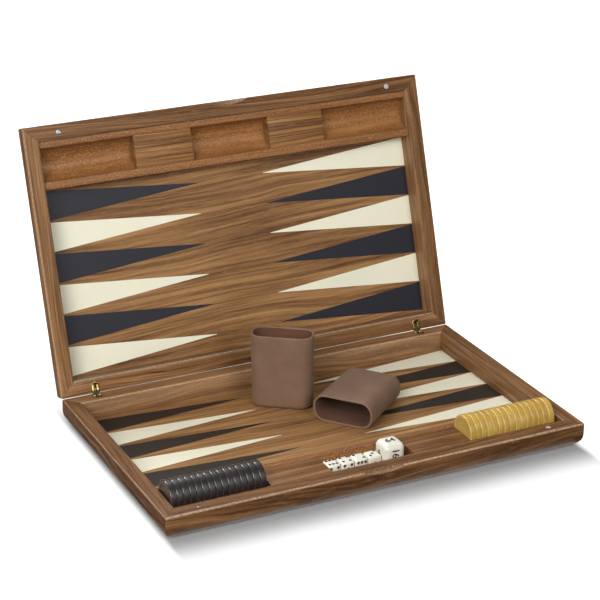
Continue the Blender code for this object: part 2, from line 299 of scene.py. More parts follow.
def wood(name, tones, band, pores, roughness, level, coat=0.0, wave=1.0, speckle=0.0, figure=1.0):
    """Wood with its grain along the first grain coordinate.

    tones run from the dark streaks to the pale bands. band is how many bands lie in a metre, wave
    is how far they wander, pores is how dark the fine dashes are, speckle is how strongly the
    varnish glitters, as painted glints (pale specks in the colour) over small bumps, and figure is
    how strongly the bands show. Worn eased edges turn pale and speckled, real rubbing with a
    painted highlight in it.
    """
    s = Shade(name, Coat_Weight=coat, Coat_Roughness=0.25, Specular_IOR_Level=level,
              Specular_Tint=VARNISH)
    grain = s.grain()
    split = s.split(grain)
    board = s.board()
    slow = s.noise(s.stretched(grain, (2.6, 9.0, 9.0)), detail=2.0)
    ripple = s.noise(s.stretched(grain, (22.0, 60.0, 60.0)), detail=2.0)
    wander = s.plus(s.times(s.minus(slow, 0.5), 0.045 * wave), s.times(s.minus(ripple, 0.5), 0.0016 * wave))
    across = s.plus(s.plus(split[1], wander), s.times(split[2], 0.55))
    lined = s.node("ShaderNodeCombineXYZ", {0: split[0], 1: across, 2: split[2]}).outputs[0]
    bands = s.noise(s.stretched(lined, (1.5, band, 6.0)), detail=3.0, roughness=0.55)
    streaks = s.noise(s.stretched(lined, (6.5, band * 5.0, 40.0)), detail=3.0, roughness=0.70)
    cloud = s.noise(s.stretched(grain, (7.0, 16.0, 16.0)), detail=3.0)
    fibres = s.noise(s.stretched(lined, (48.0, 560.0, 450.0)), detail=3.0, roughness=0.72)
    tone = s.plus(s.times(bands, 0.34), s.times(streaks, 0.60))
    tone = s.plus(tone, s.times(cloud, 0.09))
    tone = s.plus(tone, s.times(s.minus(fibres, 0.56), 0.34))
    tone = s.plus(s.times(s.minus(tone, 0.5), figure), 0.5)
    tone = s.plus(tone, board[0])
    colour = s.ramp(tone, [(0.39, tones[0]), (0.46, tones[1]), (0.53, tones[2]), (0.62, tones[3])])
    dark_dash = s.times(s.remap(fibres, 0.54, 0.64, 0.0, pores), s.remap(tone, 0.42, 0.60, 1.0, 0.40))
    pale_dash = s.remap(fibres, 0.46, 0.36, 0.0, 0.35)
    colour = s.mix(pale_dash, colour, tones[3])
    colour = s.mix(dark_dash, colour, tuple(0.42 * c for c in tones[0]))
    # painted highlight on worn eased edges: real rubbing together with a painted pale speckled line
    rub_glints = s.remap(s.noise(grain, scale=600.0, detail=2.0), 0.42, 0.58, 0.45, 0.95)
    colour = s.mix(s.times(board[1], rub_glints), colour, RUBBED_EDGE_HIGHLIGHT)
    height = s.minus(s.times(fibres, 0.5), dark_dash)
    if speckle:
        # painted glints: pale specks in the colour, with bumps under them
        glint_dots = s.noise(grain, scale=620.0, detail=2.0, roughness=0.7)
        colour = s.mix(s.remap(glint_dots, 0.52, 0.62, 0.0, speckle), colour, tones[3])
        height = s.plus(height, s.times(glint_dots, 2.0 * speckle))
    s.set("Base Color", colour)
    s.set("Roughness", s.remap(fibres, 0.3, 0.7, roughness - 0.06, roughness + 0.08))
    s.bump(height, 0.00008, 0.7)
    return s


def inlay(name, colour, roughness, level):
    """Dyed veneer under a thin satin film, with a faint weave."""
    s = Shade(name, Specular_IOR_Level=level)
    grain = s.grain()
    along = s.noise(s.stretched(grain, (90.0, 2600.0, 1.0)), detail=2.0)
    cross = s.noise(s.stretched(grain, (2600.0, 90.0, 1.0)), detail=2.0)
    cloud = s.noise(grain, scale=18.0, detail=3.0)
    weave = s.plus(s.times(along, 0.5), s.times(cross, 0.5))
    dark = tuple(0.95 * c for c in colour)
    light = tuple(min(1.0, 1.04 * c) for c in colour)
    tint = s.plus(s.times(weave, 0.6), s.times(cloud, 0.4))
    s.set("Base Color", s.ramp(tint, [(0.36, dark), (0.50, colour), (0.64, light)]))
    s.set("Roughness", s.remap(weave, 0.3, 0.7, roughness - 0.05, roughness + 0.07))
    s.bump(weave, 0.00003, 0.5)
    return s


def resin(name, deep, body, pale, roughness, swirl, scatter=0.0, rim=0.0, coat=0.35,
          polish=0.0):
    """Cast resin with soft clouds; along its edges a painted highlight, paler by rim, and a smoother finish
    by polish.
    """
    s = Shade(name, Coat_Weight=coat, Coat_Roughness=0.12, Subsurface_Weight=scatter,
              Subsurface_Radius=(0.004, 0.002, 0.0008), Subsurface_Scale=0.6)
    grain = s.grain()
    warp = s.noise(grain, scale=60.0, detail=2.0)
    cloud = s.noise(s.vector("ADD", grain, s.times(warp, 0.03)), scale=swirl, detail=4.0, distortion=0.8)
    colour = s.ramp(cloud, [(0.30, deep), (0.52, body), (0.74, pale)])
    board = s.board()
    # painted highlight: the edges turn paler by rim
    if rim:
        edge = tuple(min(1.0, 1.45 * c + 0.05) for c in pale)
        colour = s.mix(s.times(board[1], rim), colour, edge)
    s.set("Base Color", colour)
    fine = s.noise(grain, scale=900.0, detail=3.0)
    matt = s.remap(fine, 0.3, 0.7, roughness - 0.06, roughness + 0.10)
    s.set("Roughness", s.minus(matt, s.times(board[1], polish)))
    if polish:
        s.set("Coat Weight", s.times(board[1], 2.5 * polish))
    s.bump(fine, 0.00002, 0.35)
    return s


def leather(name, dark, body, pale, roughness):
    """Smooth calf leather: fine pebbles, soft clouds, a few scuffs."""
    s = Shade(name, Specular_IOR_Level=0.24, Sheen_Weight=0.07, Sheen_Roughness=0.45)
    grain = s.grain()
    cloud = s.noise(grain, scale=34.0, detail=5.0, roughness=0.6)
    pebble = s.node("ShaderNodeTexVoronoi", {"Vector": grain, "Scale": 1500.0, "Randomness": 0.9},
                    feature="SMOOTH_F1").outputs["Distance"]
    fleck = s.noise(grain, scale=240.0, detail=3.0, roughness=0.7)
    tone = s.plus(s.times(cloud, 0.75), s.times(fleck, 0.25))
    colour = s.ramp(tone, [(0.24, dark), (0.50, body), (0.80, pale)])
    scratches = s.noise(s.stretched(grain, (90.0, 160.0, 60.0)), detail=5.0, roughness=0.7)
    scuff = s.remap(scratches, 0.70, 0.80, 0.0, 0.5)
    colour = s.mix(scuff, colour, tuple(min(1.0, 1.9 * c) for c in pale))
    s.set("Base Color", colour)
    s.set("Roughness", s.remap(fleck, 0.3, 0.7, roughness - 0.07, roughness + 0.09))
    height = s.plus(s.times(pebble, 0.6), s.times(fleck, 0.5))
    s.bump(height, 0.00016, 0.45)
    return s


def metal(name, colour, dull, roughness):
    """Turned metal: fine brushing and a little tarnish."""
    s = Shade(name, Metallic=1.0)
    grain = s.grain()
    brush = s.noise(s.stretched(grain, (900.0, 900.0, 9000.0)), detail=3.0)
    cloud = s.noise(grain, scale=420.0, detail=4.0)
    s.set("Base Color", s.ramp(s.plus(cloud, s.board()[0]), [(0.35, dull), (0.60, colour)]))
    s.set("Roughness", s.remap(brush, 0.3, 0.7, roughness - 0.08, roughness + 0.12))
    s.bump(brush, 0.00001, 0.4)
    return s


def plain_floor():
    """Pale paper that throws little light back up at the set, and glows as painted light: white to the
    camera away from the set, leaving painted shade round it, and bright in reflections near the case.
    """
    s = Shade("floor_paper_glow", Specular_IOR_Level=0.0, Roughness=0.9)
    place = s.node("ShaderNodeTexCoord").outputs["Object"]
    fibre = s.noise(place, scale=30.0, detail=3.0)
    path = s.node("ShaderNodeLightPath").outputs
    seen = path["Is Camera Ray"]
    mirrored = path["Is Glossy Ray"]
    paper = s.ramp(fibre, [(0.3, FLOOR_SEEN), (0.7, FLOOR_SEEN + 0.02)])
    bounced = s.mix(mirrored, (FLOOR_BOUNCE,) * 3, (0.0, 0.0, 0.0))
    s.set("Base Color", s.mix(seen, bounced, paper))

    def beyond(y_middle, half_deep, ends):
        """Distance outside a rectangle, its short ends pulled in and counted several times over."""
        pulled_in, times = ends
        away = s.vector("SUBTRACT", place, (0.0, y_middle, 0.0))
        away = s.node("ShaderNodeVectorMath", {0: away}, operation="ABSOLUTE").outputs["Vector"]
        away = s.vector("SUBTRACT", away, (LENGTH / 2 - pulled_in, half_deep, 0.0))
        away = s.vector("MAXIMUM", away, (0.0, 0.0, 0.0))
        away = s.stretched(away, (times, 1.0, 1.0))
        return s.node("ShaderNodeVectorMath", {0: away}, operation="LENGTH").outputs["Value"]

    from_base = beyond(0.0, DEPTH / 2, BASE_ENDS)
    from_lid = beyond(LID_REACH / 2, (DEPTH + LID_REACH) / 2, LID_ENDS)
    away = s.math("MINIMUM", from_base, from_lid)
    # painted light: the floor glows white to the camera away from the set, fading out towards it into
    # painted shade beside the real shade
    sweep_glow = s.times(s.node("ShaderNodeMapRange", {
        "Value": away, "From Min": SWEEP_FROM, "From Max": SWEEP_TO}).outputs["Result"], seen)
    s.set("Emission Color", (1.0, 1.0, 1.0))
    # painted reflection: in reflections the floor glows, brightest at the case
    glow = s.remap(from_base, 0.0, GLOW_REACH, UNDER_MIRRORED, FLOOR_MIRRORED)
    s.set("Emission Strength", s.plus(sweep_glow, s.times(mirrored, glow)))
    return s


def make_materials():
    made = (
        wood("walnut_rail", ((0.062, 0.024, 0.008), (0.118, 0.051, 0.018),
                             (0.185, 0.086, 0.032), (0.300, 0.155, 0.064)),
             band=95.0, pores=0.85, roughness=0.34, level=0.27),
        wood("walnut_cut", ((0.078, 0.034, 0.014), (0.128, 0.061, 0.027),
                            (0.195, 0.104, 0.052), (0.350, 0.225, 0.140)),
             band=95.0, pores=0.80, roughness=0.30, coat=0.2, level=0.50, speckle=0.7),
        wood("walnut_field", ((0.100, 0.043, 0.016), (0.172, 0.079, 0.029),
                              (0.255, 0.127, 0.047), (0.365, 0.202, 0.083)),
             band=60.0, pores=0.80, roughness=0.42, level=0.32),
        wood("walnut_plug", ((0.075, 0.029, 0.010), (0.130, 0.056, 0.020),
                             (0.200, 0.092, 0.034), (0.345, 0.175, 0.066)),
             band=120.0, wave=0.8, pores=0.45, roughness=0.42, level=0.22),
        wood("sapele", ((0.115, 0.037, 0.010), (0.180, 0.068, 0.020),
                        (0.265, 0.110, 0.034), (0.400, 0.195, 0.068)),
             band=50.0, wave=0.3, pores=0.35, roughness=0.42, level=0.45,
             speckle=0.75, figure=0.5),
        inlay("cream_inlay", (0.715, 0.685, 0.535), 0.42, 0.35),
        inlay("black_inlay_lid", (0.0145, 0.0140, 0.0210), 0.45, 0.30),
        inlay("black_inlay_base", (0.0215, 0.0160, 0.0130), 0.45, 0.28),
        resin("dark_resin", (0.007, 0.005, 0.004), (0.012, 0.008, 0.007),
              (0.020, 0.014, 0.012), 0.44, 90.0, 0.0, 0.30, 0.0, 0.30),
        resin("amber_resin", (0.355, 0.215, 0.040), (0.415, 0.262, 0.056),
              (0.500, 0.345, 0.092), 0.32, 50.0, 0.25, 0.30, 0.12, 0.03),
        resin("ivory_resin", (0.610, 0.592, 0.490), (0.650, 0.632, 0.535),
              (0.750, 0.735, 0.650), 0.24, 60.0, 0.15),
        resin("pip_ink", (0.006, 0.006, 0.007), (0.010, 0.010, 0.011),
              (0.018, 0.018, 0.020), 0.35, 600.0),
        leather("cup_leather", (0.135, 0.076, 0.048), (0.168, 0.097, 0.062),
                (0.205, 0.122, 0.080), 0.52),
        leather("cup_lining", (0.088, 0.040, 0.023), (0.114, 0.053, 0.031),
                (0.145, 0.070, 0.042), 0.45),
        metal("hinge_brass", (0.520, 0.410, 0.165), (0.230, 0.165, 0.055), 0.30),
        metal("magnet_steel", (0.620, 0.610, 0.600), (0.085, 0.075, 0.062), 0.48),
        plain_floor(),
    )
    return {shade.name: shade.material for shade in made}


# --- Mesh helpers ----------------------------------------------------------------------------
def arc(centre, radius, start, end, steps):
    """Points of an arc, angles in degrees."""
    points = []
    for i in range(steps + 1):
        a = math.radians(start + (end - start) * i / steps)
        points.append((centre[0] + radius * math.cos(a), centre[1] + radius * math.sin(a)))
    return points


def eased(outline, sizes, steps=3):
    """The outline with corner i rounded off by sizes.get(i)."""
    made = []
    count = len(outline)
    for i, point in enumerate(outline):
        size = sizes.get(i)
        if not size:
            made.append(point)
            continue
        here = Vector(point)
        to_back = (Vector(outline[i - 1]) - here).normalized()
        to_next = (Vector(outline[(i + 1) % count]) - here).normalized()
        start, end = here + to_back * size, here + to_next * size
        for k in range(steps + 1):
            t = k / steps
            bent = start * (1 - t) ** 2 + here * 2 * t * (1 - t) + end * t ** 2
            made.append(tuple(bent))
    return made


def loft(rings):
    """A closed solid through rings of equally many points."""
    bm = bmesh.new()
    rows = [[bm.verts.new(p) for p in ring] for ring in rings]
    count = len(rows[0])
    for low, high in zip(rows, rows[1:]):
        for i in range(count):
            j = (i + 1) % count
            bm.faces.new((low[i], low[j], high[j], high[i]))
    bm.faces.new(rows[0])
    bm.faces.new(rows[-1])
    return bm


def lathe(profile, segments):
    """A solid turned about the Z axis from (radius, z) pairs that start and end on the axis."""
    bm = bmesh.new()
    low = bm.verts.new((0.0, 0.0, profile[0][1]))
    high = bm.verts.new((0.0, 0.0, profile[-1][1]))
    rows = []
    for radius, z in profile[1:-1]:
        row = []
        for i in range(segments):
            a = 2 * math.pi * i / segments
            row.append(bm.verts.new((radius * math.cos(a), radius * math.sin(a), z)))
        rows.append(row)
    for below, above in zip(rows, rows[1:]):
        for i in range(segments):
            j = (i + 1) % segments
            bm.faces.new((below[i], below[j], above[j], above[i]))
    for i in range(segments):
        j = (i + 1) % segments
        bm.faces.new((low, rows[0][j], rows[0][i]))
        bm.faces.new((high, rows[-1][i], rows[-1][j]))
    return bm


def box(low, high):
    bm = bmesh.new()
    bmesh.ops.create_cube(bm, size=1.0)
    bmesh.ops.scale(bm, verts=bm.verts, vec=[b - a for a, b in zip(low, high)])
    bmesh.ops.translate(bm, verts=bm.verts, vec=[(a + b) / 2 for a, b in zip(low, high)])
    return bm


def cylinder(radius, low, high, segments=48):
    bm = bmesh.new()
    bmesh.ops.create_cone(bm, cap_ends=True, segments=segments, radius1=radius, radius2=radius,
                          depth=high - low)
    bmesh.ops.translate(bm, verts=bm.verts, vec=(0.0, 0.0, (low + high) / 2))
    return bm


def turned(bm, matrix):
    bmesh.ops.transform(bm, matrix=matrix, verts=bm.verts)
    return bm


def joined(parts):
    """One bmesh from several."""
    whole = bmesh.new()
    for part in parts:
        mesh = bpy.data.meshes.new("part")
        part.to_mesh(mesh)
        part.free()
        whole.from_mesh(mesh)
        bpy.data.meshes.remove(mesh)
    return whole


def linked(name, data):
    obj = bpy.data.objects.new(name, data)
    bpy.context.scene.collection.objects.link(obj)
    return obj


def new_object(name, bm, materials, smooth=30.0):
    bmesh.ops.recalc_face_normals(bm, faces=bm.faces)
    mesh = bpy.data.meshes.new(name)
    bm.to_mesh(mesh)
    bm.free()
    for material in materials:
        mesh.materials.append(material)
    mesh.shade_smooth()
    mesh.set_sharp_from_angle(angle=math.radians(smooth))
    return linked(name, mesh)


def evaluated_mesh(obj):
    bpy.context.view_layer.update()
    return bpy.data.meshes.new_from_object(obj.evaluated_get(bpy.context.evaluated_depsgraph_get()))


def carve(obj, cutters):
    """Cuts the meshes out of obj and keeps the result as obj's own mesh."""
    tools = [new_object(f"{obj.name}_cutter_{i}", bm, obj.data.materials[-1:])
             for i, bm in enumerate(cutters)]
    for tool in tools:
        modifier = obj.modifiers.new(tool.name, "BOOLEAN")
        modifier.operation = "DIFFERENCE"
        modifier.solver = "EXACT"
        modifier.material_mode = "TRANSFER"
        modifier.object = tool
    result = evaluated_mesh(obj)
    obj.modifiers.clear()
    obj.data = result
    for tool in tools:
        bpy.data.objects.remove(tool)
    result.set_sharp_from_angle(angle=math.radians(30.0))


def finished(obj, matrix, body, node=None, seed=None, grain=None, tone=0.0, wear=None):
    """Places obj by matrix, writes its grain coordinates and rides it on its body.

    node is the solid that obj is shown for. grain turns the piece's own coordinates into grain
    coordinates: along, across and up. tone is how much lighter than the others this board is, as
    a number or by place; by place it also paints light and shade onto some faces. wear
    gives how worn a place is and how strong its painted highlight.
    """
    draw = random.Random(hash_seed(node) if seed is None else seed)
    shift = Vector([draw.uniform(-3.0, 3.0) for _ in range(3)])
    to_grain = grain or Matrix.Identity(4)
    attribute = obj.data.attributes.new("grain", "FLOAT_VECTOR", "POINT")
    for vertex, item in zip(obj.data.vertices, attribute.data):
        item.vector = to_grain @ vertex.co + shift
    board = obj.data.attributes.new("board", "FLOAT_VECTOR", "POINT")
    for vertex, item in zip(obj.data.vertices, board.data):
        place = to_grain @ vertex.co
        item.vector = (tone(place) if callable(tone) else tone, wear(place) if wear else 0.0, 0.0)
    obj.data.transform(matrix)
    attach(obj, body)
    if node:
        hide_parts(node)


# --- Case ------------------------------------------------------------------------------------
def rail_section(outer_ease):
    """Outline of a rail: t from the outer face inwards, z from the underside."""
    outline = [(RAIL, 0.0)]
    outline += arc((ROUND, ROUND), ROUND, 270, 180, 22)
    outline += [(0.0, THICK - outer_ease - RUB_HIGHLIGHT_REACH)]
    outline += arc((outer_ease, THICK - outer_ease), outer_ease, 180, 90, 6)
    outline += [(outer_ease + RUB_HIGHLIGHT_REACH, THICK)]
    outline += arc((RAIL - EASE, THICK - EASE), EASE, 90, 0, 6)
    return outline


def rail_wear(outer_ease, outer_amount, inner_amount):
    """How worn a rail is at a place (s, t, z), and how strong its painted highlight: most in the middle of
    an eased edge.
    """
    def wear(place):
        edges = ((outer_ease, place.y, outer_amount), (EASE, RAIL - place.y, inner_amount))
        for ease, across, amount in edges:
            up = place.z - (THICK - ease)
            out = ease - across
            if up > -1e-6 and out > -1e-6 and up * up + out * out < (1.05 * ease) ** 2:
                return amount * (0.45 + 0.55 * math.sin(2 * math.atan2(up, out)))
        return 0.0
    return wear


def rail_tone(node):
    """A rail's own tone, with painted light or painted shade on its inner wall where
    INNER_PAINTED_LIGHT_SHADE says so.
    """
    def tone(place):
        inner = place.y > RAIL - 1e-5 and place.z < THICK - 0.9 * EASE
        return BOARD_TONE.get(node, 0.0) + (INNER_PAINTED_LIGHT_SHADE.get(node, 0.0) if inner else 0.0)
    return tone


def mitred_rail(span, outer_ease):
    """A rail along s with mitred ends whose outer corners are eased."""
    steps = 4
    rings = []
    for far in (False, True):
        ring_set = []
        for k in range(steps + 1):
            a = math.radians(45) * k / steps
            ring = []
            for t, z in rail_section(outer_ease):
                reach = max(CORNER - t, 0.0)
                if reach > 0:
                    s, depth = CORNER - reach * math.sin(a), CORNER - reach * math.cos(a)
                else:
                    s, depth = t + CORNER * (1 - k / steps), t
                s += MITRE_GAP
                ring.append((span - s if far else s, depth, z))
            ring_set.append(ring)
        rings += ring_set if far else ring_set[::-1]
    return loft(rings)


RAIL_PLACES = {           # x and v of a place (s, t, z) along each rail
    "hinge": ((1, 0, 0, -LENGTH / 2), (0, 1, 0, 0)),
    "free": ((1, 0, 0, -LENGTH / 2), (0, -1, 0, DEPTH)),
    "low": ((0, 1, 0, -LENGTH / 2), (1, 0, 0, 0)),
    "high": ((0, -1, 0, LENGTH / 2), (1, 0, 0, 0)),
}
RAIL_NAMES = {
    "base": {"hinge": "back", "free": "front", "low": "right", "high": "left"},
    "lid": {"hinge": "hinge", "free": "free", "low": "left", "high": "right"},
}
BOARD_TONE = {            # lighter boards and lighter magnets are above zero
    "base_magnet_left": -0.16,
    "base_magnet_right": 0.20,
    "lid_magnet_left": -0.06,
    "base_rail_back": 0.07,
    "base_rail_front": -0.04,
    "base_rail_left": -0.045,
    "base_rail_right": -0.01,
    "base_field_panel": 0.045,
    "lid_field_panel": -0.005,
    "base_plug_left": -0.035,
    "base_plug_right": -0.045,
    "lid_rail_right": 0.035,
    "lid_magnet_right": 0.20,
}
TROUGH_TONE_AND_SHADE = {           # tone of the strips, and how far painted shade deepens across the groove towards the free edge
    "base": (-0.085, 0.0),
    "lid": (-0.035, 0.045),
}
# painted light on a rail's inner wall, painted shade below zero
INNER_PAINTED_LIGHT_SHADE = {"lid_rail_right": 0.07, "base_rail_back": -0.02}
# how worn the other eased edges are, with a painted highlight as strong; more on the hinge rails' inner
# edges
LITTLE_WEAR_HIGHLIGHT = 0.2
INNER_WEAR_HIGHLIGHT = {"hinge": 0.85}
OUTER_WEAR_HIGHLIGHT = {            # how worn the outer face edge of each rail is, with a painted highlight as strong
    "base_rail_front": 0.9,
    "base_rail_left": 0.1,
    "lid_rail_free": 0.0,
    "lid_rail_left": 0.6,
}


def add_rail(half, side, mats):
    along_hinge = side in ("hinge", "free")
    span = LENGTH if along_hinge else DEPTH
    place = Matrix((*RAIL_PLACES[side], (0, 0, 1, 0), (0, 0, 0, 1)))
    node = f"{half}_rail_{RAIL_NAMES[half][side]}"
    outer_ease = HINGE_EASE if side == "hinge" else EASE
    section = turned(mitred_rail(span, outer_ease), place)
    rail = new_object(f"shown_{node}", section, [mats["walnut_rail"], mats["walnut_cut"]])
    if side == "hinge":
        cutters = []
        for x in (-HINGE_X, HINGE_X):
            hole = cylinder(BARREL_R + SNUG, THICK - BARREL_DEEP - GAP, THICK + CLEAR_OF)
            cutters.append(turned(hole, Matrix.Translation((x, BARREL_V, 0.0))))
            cutters.append(box((x - SLOT_HALF, -CLEAR_OF, THICK - LEAF_DEEP - SLOT_UNDER),
                               (x + SLOT_HALF, BARREL_V, THICK + CLEAR_OF)))
        carve(rail, cutters)
    if side == "free":
        low, high = THICK - MAGNET_TALL - 2 * GAP, THICK + CLEAR_OF
        cutters = [turned(cylinder(MAGNET_R + SNUG, low, high),
                          Matrix.Translation((sign * MAGNET_X, MAGNET_V, 0.0))) for _, sign in SIDES]
        reach = (NOTCH_R - NOTCH_DEEP) / math.sqrt(2)
        scoop = turned(cylinder(NOTCH_R, -0.03, 0.03, NOTCH_SEGMENTS),
                       Matrix.Rotation(math.radians(45), 4, "X"))
        cutters.append(turned(scoop, Matrix.Translation((0.0, DEPTH + reach, THICK + reach))))
        carve(rail, cutters)
    wear = rail_wear(outer_ease, OUTER_WEAR_HIGHLIGHT.get(node, LITTLE_WEAR_HIGHLIGHT), INNER_WEAR_HIGHLIGHT.get(side, LITTLE_WEAR_HIGHLIGHT))
    finished(rail, HALVES[half], half, node, hash_seed(half, side, "rail"), place.inverted(),
             rail_tone(node), wear)


def add_field(half, mats):
    low = (-LENGTH / 2 + RAIL + SNUG, RAIL + SNUG, 0.0)
    high = (LENGTH / 2 - RAIL - SNUG, DEPTH - RAIL - SNUG, FIELD_Z)
    node = f"{half}_field_panel"
    panel = new_object(f"shown_{node}", box(low, high), [mats["walnut_field"]])
    finished(panel, HALVES[half], half, node, hash_seed(half, "field"),
             tone=BOARD_TONE[node])


def add_points(half, mats):
    """Six tapering inlays on each side, dark and cream by turns."""
    edge = LENGTH / 2 - RAIL - SNUG
    for name, sign in SIDES:
        direction = sign if half == "lid" else -sign
        for i in range(POINTS):
            v = POINT_FIRST_V + i * POINT_PITCH
            near_dark = (half == "base") == (name == "left")
            dark = (i % 2 == 0) == near_dark
            tip = POINT_TIP_X - POINT_LONGER.get((half, dark), 0.0)
            corners = [(direction * edge, v - POINT_HALF), (direction * edge, v + POINT_HALF),
                       (direction * tip, v + POINT_BLUNT), (direction * tip, v - POINT_BLUNT)]
            rings = [[(x, y, z) for x, y in corners]
                     for z in (FIELD_Z - POINT_DEEP, FIELD_Z + POINT_PROUD)]
            colour = f"black_inlay_{half}" if dark else "cream_inlay"
            point = new_object(f"{half}_point_{name}_{i + 1}", loft(rings), [mats[colour]])
            finished(point, HALVES[half], half, seed=hash_seed(half, name, i))


def hash_seed(*words):
    """A whole number from words, the same in each run."""
    total = 7
    for letter in "/".join(str(w) for w in words):
        total = (total * 31 + ord(letter)) % 1000003
    return total


def groove_arc(radius, steps):
    lift = math.degrees(math.asin((TROUGH_TOP - GROOVE_Z) / radius))
    return arc((GROOVE_V, GROOVE_Z), radius, 180 - lift, 360 + lift, steps)


def shrunk_rings(outline, stations):
    """The outline (v, z) at each x of the (x, inset) pairs, drawn in towards its middle."""
    middle = Vector([sum(values) / len(outline) for values in zip(*outline)])
    rings = []
    for x, inset in stations:
        ring = []
        for v, z in outline:
            out = Vector((v, z)) - middle
            v2, z2 = middle + out * (1 - inset / out.length)
            ring.append((x, v2, z2))
        rings.append(ring)
    return rings


def along_x(outline, low, high, ease=0.0):
    """The outline (v, z) drawn out along x, with its two ends eased."""
    if not ease:
        return loft([[(x, v, z) for v, z in outline] for x in (low, high)])
    return loft(shrunk_rings(outline, (
        (low, ease), (low + ease * 0.3, ease * 0.3), (low + ease, 0.0),
        (high - ease, 0.0), (high - ease * 0.3, ease * 0.3), (high, ease))))


def trough_tone(strips, shade_fall):
    """The flat strips have their own tone; across the groove painted shade darkens it by shade_fall towards
    the free edge and painted light lightens it towards the hinge.
    """
    def tone(place):
        if place.z > TROUGH_TOP - 0.0008:
            return strips
        # painted shade towards the free edge, painted light towards the hinge
        return -0.012 - shade_fall * (place.y - GROOVE_V) / GROOVE_R
    return tone


def add_trough(half, mats):
    near, far = DEPTH - RAIL - TROUGH_WIDE, DEPTH - RAIL - SNUG
    outline = [(near, FIELD_Z + SNUG), (near, TROUGH_TOP)]
    outline += groove_arc(GROOVE_R, 44)
    outline += [(far, TROUGH_TOP), (far, FIELD_Z + SNUG)]
    last = len(outline) - 3
    outline = eased(outline, {1: 0.0006, 2: 0.0004, last: 0.0004, last + 1: 0.0003})
    reach = LENGTH / 2 - RAIL - SNUG
    trough = new_object(f"shown_{half}_trough", along_x(outline, -reach, reach), [mats["sapele"]])
    finished(trough, HALVES[half], half, f"{half}_trough", hash_seed(half, "trough"),
             tone=trough_tone(*TROUGH_TONE_AND_SHADE[half]))


def add_plugs(half, mats):
    outline = groove_arc(GROOVE_R - SNUG, 40)
    outline = eased(outline, {0: PLUG_EASE, len(outline) - 1: PLUG_EASE})
    for name, sign in SIDES:
        x_sign = sign if half == "lid" else -sign
        low, high = sorted((x_sign * PLUG_NEAR, x_sign * PLUG_FAR))
        node = f"{half}_plug_{name}"
        plug = new_object(f"shown_{node}", along_x(outline, low, high, PLUG_EASE), [mats["walnut_plug"]])
        finished(plug, HALVES[half], half, node, tone=BOARD_TONE.get(node, 0.0))


def add_magnets(half, mats):
    profile = [(0.0, -MAGNET_TALL), (MAGNET_R - 0.0002, -MAGNET_TALL), (MAGNET_R, -MAGNET_TALL + 0.0002),
               (MAGNET_R, -0.0003), (MAGNET_R - 0.0001, -0.00012), (MAGNET_R - 0.0003, 0.0), (0.0, 0.0)]
    for name, sign in SIDES:
        x = (sign if half == "lid" else -sign) * MAGNET_X
        node = f"{half}_magnet_{name}"
        disc = turned(lathe(profile, 40), Matrix.Translation((x, MAGNET_V, THICK - 0.00018)))
        magnet = new_object(f"shown_{node}", disc, [mats["magnet_steel"]])
        finished(magnet, HALVES[half], half, node, tone=BOARD_TONE[node])


def link_plate(x_low, x_high):
    """A link with a round eye on the hinge axis, its other end down in the barrel."""
    axis = (-AXIS_BACK, HINGE_Z)
    v_far = BARREL_V + 0.0005
    outline = arc(axis, EYE_R, 90, 255, 14)
    outline += [(0.0028, THICK - LEAF_DEEP), (v_far, THICK - LINK_DEEP),
                (v_far + 0.0018, THICK - LINK_DEEP + 0.0012), (v_far + 0.0010, THICK - 0.0011),
                (0.0035, THICK - 0.0007)]
    return loft(shrunk_rings(outline, (
        (x_low, 0.0002), (x_low + 0.0002, 0.0), (x_high - 0.0002, 0.0), (x_high, 0.0002))))


def add_hinges(half, mats):
    arms = [(-0.0015, 0.0015)] if half == "base" else [(-0.0037, -0.0019), (0.0019, 0.0037)]
    r, wall = BARREL_R, BARREL_WALL
    profile = [(0.0, -BARREL_DEEP), (r - 0.0006, -BARREL_DEEP), (r, -BARREL_DEEP + 0.0006), (r, -0.0005),
               (r - 0.00015, -0.0002), (r - 0.0004, -0.0001), (r - wall + 0.0002, -0.0001),
               (r - wall, -0.0004), (r - wall - 0.0001, -0.0070), (0.0, -0.0072)]
    for name, sign in SIDES:
        x = (sign if half == "lid" else -sign) * HINGE_X
        node = f"{half}_hinge_{name}"
        barrel = turned(lathe(profile, 64), Matrix.Translation((x, BARREL_V, THICK)))
        hinge = new_object(f"shown_{node}", barrel, [mats["hinge_brass"]])
        carve(hinge, [box((x - BARREL_SLOT, -CLEAR_OF, THICK - LEAF_DEEP),
                          (x + BARREL_SLOT, BARREL_V, THICK + CLEAR_OF))])
        plates = joined([link_plate(x + low, x + high) for low, high in arms])
        bmesh.ops.recalc_face_normals(plates, faces=plates.faces)
        cup = bmesh.new()
        cup.from_mesh(hinge.data)
        whole = joined([cup, plates])
        whole.to_mesh(hinge.data)
        whole.free()
        hinge.data.shade_smooth()
        hinge.data.set_sharp_from_angle(angle=math.radians(35))
        finished(hinge, HALVES[half], half, node)
    if half == "base":
        profile = [(0.0, -0.0040), (0.0006, -0.0040), (PIN_R, -0.0038), (PIN_R, 0.0038), (0.0006, 0.0040),
                   (0.0, 0.0040)]
        for name, sign in SIDES:
            node = f"hinge_pin_{name}"
            pin = turned(lathe(profile, 24), Matrix.Rotation(math.radians(90), 4, "Y"))
            obj = new_object(f"shown_{node}", pin, [mats["hinge_brass"]])
            finished(obj, Matrix.Translation((sign * HINGE_X, HINGE_Y, HINGE_Z)), "base", node)


def add_case(mats):
    for half in ("base", "lid"):
        for side in RAIL_PLACES:
            add_rail(half, side, mats)
        add_field(half, mats)
        add_points(half, mats)
        add_trough(half, mats)
        add_plugs(half, mats)
        add_magnets(half, mats)
        add_hinges(half, mats)


